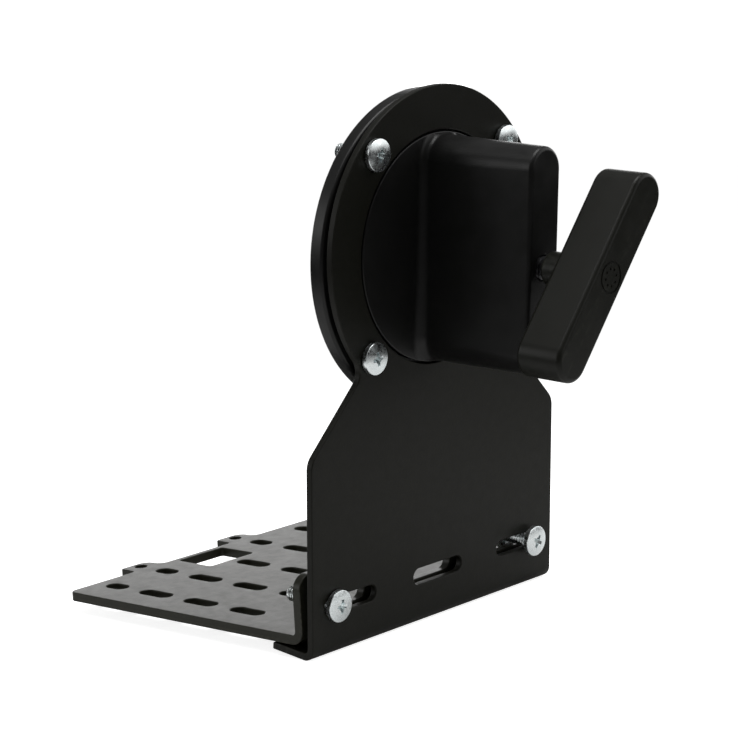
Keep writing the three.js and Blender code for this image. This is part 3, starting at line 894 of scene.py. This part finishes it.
# ---------------------------------------------------------------- handle
def grip_outline():
    """Straight sides and half-round ends, drawn anticlockwise."""
    centre = GRIP_LENGTH / 2 - GRIP_HALF
    return tidy(arc(0, centre, GRIP_HALF, 0, 180, 32) + arc(0, -centre, GRIP_HALF, 180, 360, 32))


def grip_mark():
    """Cutters for a plain ring and a circle of dots in the grip's front."""
    above = GRIP_FRONT - BEYOND
    inner, outer, depth = MARK_RING
    floor = GRIP_FRONT + depth
    cutters = [turned([(inner - MARK_DRAFT, above), (outer + MARK_DRAFT, above), (outer, floor),
                       (inner, floor)], 64, closed=True)]
    distance, narrow, wide, depth = MARK_DOT
    floor = GRIP_FRONT + depth
    for k in range(MARK_DOTS):
        angle = 2 * math.pi * k / MARK_DOTS
        dot = turned([(0, above), (wide, above), (narrow, floor), (0, floor)], 12)
        cutters.append(moved(dot, distance * math.cos(angle), distance * math.sin(angle)))
    return cutters


def handle_grip():
    outline = grip_outline()
    levels = []
    for p in arc(GRIP_EDGE, GRIP_FRONT + GRIP_EDGE, GRIP_EDGE, 270, 180, 6):
        levels.append((p.x, p.y))
    for p in arc(GRIP_EDGE, GRIP_BACK - GRIP_EDGE, GRIP_EDGE, 180, 90, 6):
        levels.append((p.x, p.y))
    rings = [[(0, GRIP_FRONT, 0)]]
    rings += [[(p.x, y, p.y) for p in inset(outline, d)] for d, y in levels]
    rings.append([(0, GRIP_BACK, 0)])
    piece = to_object(skin(rings), "grip_moulding")
    across, head_front, head_height = STUD_HEAD
    shank = STUD_RADIUS + GAP
    hexagon = hex_limit(across + 2 * GAP)
    front, back = head_front - GAP, head_front + head_height + GAP
    pocket = turned([(0, front), (hexagon, front), (hexagon, back), (0, back)], 72)
    beyond = GRIP_BACK + BEYOND
    bore = turned([(0, head_front), (shank, head_front), (shank, beyond), (0, beyond)])
    cut(piece, pocket, bore, *grip_mark())
    finish_piece(piece, HANDLE_FRAME, GRIP_PLASTIC, "handle", "handle_grip")


def handle_stud():
    across, front, height = STUD_HEAD
    head = hex_limit(across)
    thread_start, tip = GRIP_BACK - 2, 1.0
    profile = [(0, front), (head, front), (head, front + height), (STUD_RADIUS, front + height)]
    profile.append((STUD_RADIUS, thread_start))
    profile += thread_profile(STUD_RADIUS, thread_start, STUD_END, STUD_PITCH, STUD_THREAD_DEPTH, tip)
    profile.append((0, STUD_END))
    piece = to_object(turned(profile, 72), "stud_steel_rod")
    finish_piece(piece, HANDLE_FRAME, STUD_STEEL, "handle", "handle_stud")


def stud_collar():
    radius, back = COLLAR
    inner, front = STUD_RADIUS + GAP, GRIP_BACK + GAP
    front_chamfer, rim, bore_chamfer = 0.5, 1.0, 0.4
    profile = [(inner, front), (radius - front_chamfer, front), (radius, front + front_chamfer)]
    profile += [(radius, back - rim), *rounding(radius, back - rim, rim, 0, 90)]
    profile += [(inner + bore_chamfer, back), (inner, back - bore_chamfer)]
    piece = to_object(turned(profile, 64, closed=True), "collar_moulding")
    finish_piece(piece, AXIS_FRAME, GRIP_PLASTIC, "collar", "stud_collar")


def stop_ring():
    radius, front, length = STOP_RING
    inner = STUD_RADIUS + GAP
    rim, bore_chamfer = 0.5, 0.3
    profile = [(inner + bore_chamfer, 0), (radius - rim, 0), (radius, rim), (radius, length - rim)]
    profile += [(radius - rim, length), (inner + bore_chamfer, length)]
    profile += [(inner, length - bore_chamfer), (inner, bore_chamfer)]
    piece = to_object(turned(profile, 64, closed=True), "stop_ring_steel")
    place = AXIS_FRAME @ at(0, front, 0)
    finish_piece(piece, place, STUD_STEEL, "handle", "stud_stop_ring")


# ---------------------------------------------------------------- camera, floor and light
CAMERA_AIM = Vector((-0.0208858, -0.0149493, 0.106712))
CAMERA_DISTANCE = 0.9873
CAMERA_AZIMUTH = math.radians(-48.0)
CAMERA_ELEVATION = math.radians(9.649)
CAMERA_ROLL = math.radians(-3.138)
LENS = 119.35

FLOOR_SIZE = 3.0
FLOOR_GAP = 0.0002  # under the part
# Where the floor's painted shade starts and where it is full, in metres from its middle.
FLOOR_NEAR, FLOOR_FAR = 0.30, 0.65
FLOOR_GLOW = 0.86
ROOM_LIGHT, CEILING_LIGHT = 0.02, 0.2
CEILING_RANGE = (0.3, 0.6)
# The lit parts of the room: bearing, strength, where each starts and is full along its bearing,
# and the same by height. They are the rear, the front and the side.
LIT_WALLS = (
    ((0.743, 0.669, 0.0), 2.6, (0.45, 0.9), (0.4, 0.16)),
    ((0.75, -0.65, 0.1), 1.3, (0.55, 0.9), (0.02, 0.10)),
    ((-0.75, 0.655, 0.1), 2.0, (0.88, 0.97), (0.04, 0.12)),
)
# Name, azimuth and elevation in degrees, distance, width and power.
SOFTBOXES = (("key", -115, 60, 1.3, 0.5, 1.4), ("top", 0, 86, 1.4, 0.9, 12))
SOFTBOX_AIM = Vector((0, 0, 0.1))


def look_from(aim, azimuth, elevation, distance, roll):
    """A camera or lamp matrix at that bearing from aim, looking at it."""
    back = Vector((math.sin(azimuth) * math.cos(elevation), -math.cos(azimuth) * math.cos(elevation),
                   math.sin(elevation)))
    right = (-back).cross(Vector((0, 0, 1))).normalized()
    up = right.cross(-back)
    turned_right = right * math.cos(roll) + up * math.sin(roll)
    turned_up = up * math.cos(roll) - right * math.sin(roll)
    rotation = Matrix((turned_right, turned_up, back)).transposed().to_4x4()
    return Matrix.Translation(aim + back * distance) @ rotation


def camera():
    data = bpy.data.cameras.new("camera")
    data.lens = LENS
    data.clip_start = 0.05
    made = bpy.data.objects.new("camera", data)
    bpy.context.scene.collection.objects.link(made)
    made.matrix_world = look_from(
        CAMERA_AIM, CAMERA_AZIMUTH, CAMERA_ELEVATION, CAMERA_DISTANCE, CAMERA_ROLL)
    bpy.context.scene.camera = made


def softbox(name, azimuth, elevation, distance, size, power):
    data = bpy.data.lights.new(name, "AREA")
    data.size = size
    data.energy = power
    made = bpy.data.objects.new(name, data)
    bpy.context.scene.collection.objects.link(made)
    made.matrix_world = look_from(
        SOFTBOX_AIM, math.radians(azimuth), math.radians(elevation), distance, 0)


def camera_ray(material):
    """1 where the camera looks straight at the floor or world, and 0 in reflections and light."""
    return node(material, "ShaderNodeLightPath").outputs["Is Camera Ray"]


def floor():
    """A pale paper sheet, bright near the part. Further out its colour is painted dark: a painted shade
    that stands in for the unlit room in reflections.
    """
    material, bsdf = shader("floor_paper_and_painted_shade", (0.86, 0.86, 0.855), 0.9, 0.0, 0.0)
    distance = node(material, "ShaderNodeVectorMath")
    distance.operation = "LENGTH"
    link(material, node(material, "ShaderNodeTexCoord").outputs["Object"], distance.inputs[0])
    # 1 by the part, falling to 0 where the floor's painted shade is full.
    near = spread(material, distance.outputs["Value"], 1.0, 0.0, FLOOR_NEAR, FLOOR_FAR)
    paper = mix_color(material, noise(material, 12), (0.84, 0.84, 0.835), (0.88, 0.88, 0.875))
    # Painted shade: the floor's colour goes dark away from the part.
    link(material, mix_color(material, near, (0.04, 0.04, 0.04), paper), bsdf.inputs["Base Color"])
    glow = product(material, camera_ray(material), spread(material, near, 1.0, FLOOR_GLOW, 0.0, 1.0))
    link(material, glow, bsdf.inputs["Emission Strength"])
    bsdf.inputs["Emission Color"].default_value = (1, 1, 1, 1)
    bm = bmesh.new()
    bmesh.ops.create_grid(bm, x_segments=8, y_segments=8, size=FLOOR_SIZE)
    piece = to_object(bm, "floor")
    piece.location.z = cad_bounds[0].z - FLOOR_GAP
    piece.data.materials.append(material)


def towards(made, direction, bearing):
    """How far a direction of the world points along a bearing."""
    dot = node(made, "ShaderNodeVectorMath")
    dot.operation = "DOT_PRODUCT"
    dot.inputs[1].default_value = bearing
    link(made, direction, dot.inputs[0])
    return dot.outputs["Value"]


def world():
    """White to the camera; to the part a dark room with lit walls and a dim ceiling."""
    made = bpy.data.worlds.new("studio")
    bpy.context.scene.world = made
    made.use_nodes = True
    background = made.node_tree.nodes["Background"]
    direction = node(made, "ShaderNodeTexCoord").outputs["Generated"]
    height = towards(made, direction, (0, 0, 1))
    lit = spread(made, height, ROOM_LIGHT, CEILING_LIGHT, *CEILING_RANGE)
    for bearing, strength, along, heights in LIT_WALLS:
        across = spread(made, towards(made, direction, bearing), 0.0, strength, *along)
        upwards = spread(made, height, 0.0, 1.0, *heights)
        lit = calculate(made, "ADD", lit, product(made, across, upwards))
    link(made, calculate(made, "MAXIMUM", lit, camera_ray(made)), background.inputs["Strength"])
    background.inputs["Color"].default_value = (1, 1, 1, 1)


base_bracket()
upright_plate()
mount_body()
mount_fixings()
slide_fixings()
post_insert()
handle_grip()
handle_stud()
stud_collar()
stop_ring()
camera()
floor()
world()
for values in SOFTBOXES:
    softbox(*values)
bpy.context.scene.view_settings.view_transform = "Standard"
